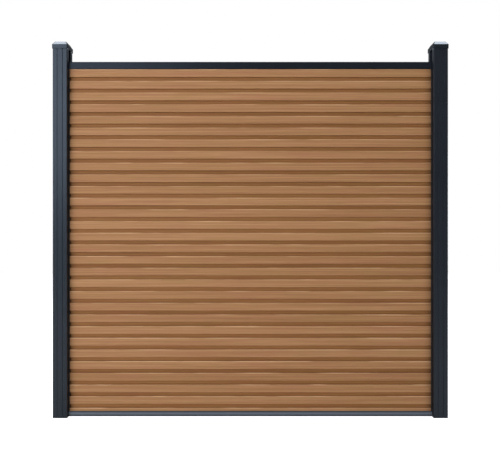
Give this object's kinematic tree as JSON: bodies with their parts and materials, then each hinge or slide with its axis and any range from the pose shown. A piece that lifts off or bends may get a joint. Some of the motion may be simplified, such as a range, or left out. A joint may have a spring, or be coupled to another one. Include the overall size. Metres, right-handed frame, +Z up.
{
  "type": "composite garden screen",
  "caption": "Garden screen of ribbed wood-composite boards stacked between slotted aluminium posts with bevelled caps, held by a channel rail above and below.",
  "frame": {"origin": "on the ground, midway between the posts, in the boards' middle plane", "axes": "+X along the screen to the right seen from the front, -Y out of the ribbed front, +Z up"},
  "size_m": [1.915, 0.075, 1.821],
  "materials": {
    "board_composite": "brushed wood-plastic composite, teak brown",
    "post_coating": "fine-textured anthracite powder coating on aluminium",
    "strip_coating": "fine-textured anthracite powder coating on aluminium",
    "rail_coating": "satin anthracite powder coating on aluminium",
    "cap_plastic": "smooth moulded anthracite plastic",
    "seal_rubber": "matte black rubber",
    "screw_steel": "plain stainless steel"
  },
  "bodies": {
    "root": {"post_left": "post_coating", "post_cap_left": "cap_plastic", "cover_strip_left_front": "strip_coating", "cover_strip_left_back": "strip_coating", "cover_strip_left_outer": "strip_coating", "slot_seal_left_front": "seal_rubber", "slot_seal_left_back": "seal_rubber", "post_right": "post_coating", "post_cap_right": "cap_plastic", "cover_strip_right_front": "strip_coating", "cover_strip_right_back": "strip_coating", "cover_strip_right_outer": "strip_coating", "slot_seal_right_front": "seal_rubber", "slot_seal_right_back": "seal_rubber", "top_rail": "rail_coating", "bottom_rail": "rail_coating", "board_01": "board_composite", "board_02": "board_composite", "board_03": "board_composite", "board_04": "board_composite", "board_05": "board_composite", "board_06": "board_composite", "board_07": "board_composite", "board_08": "board_composite", "board_09": "board_composite", "board_10": "board_composite", "rail_screws": "screw_steel"}
  },
  "joints": []
}
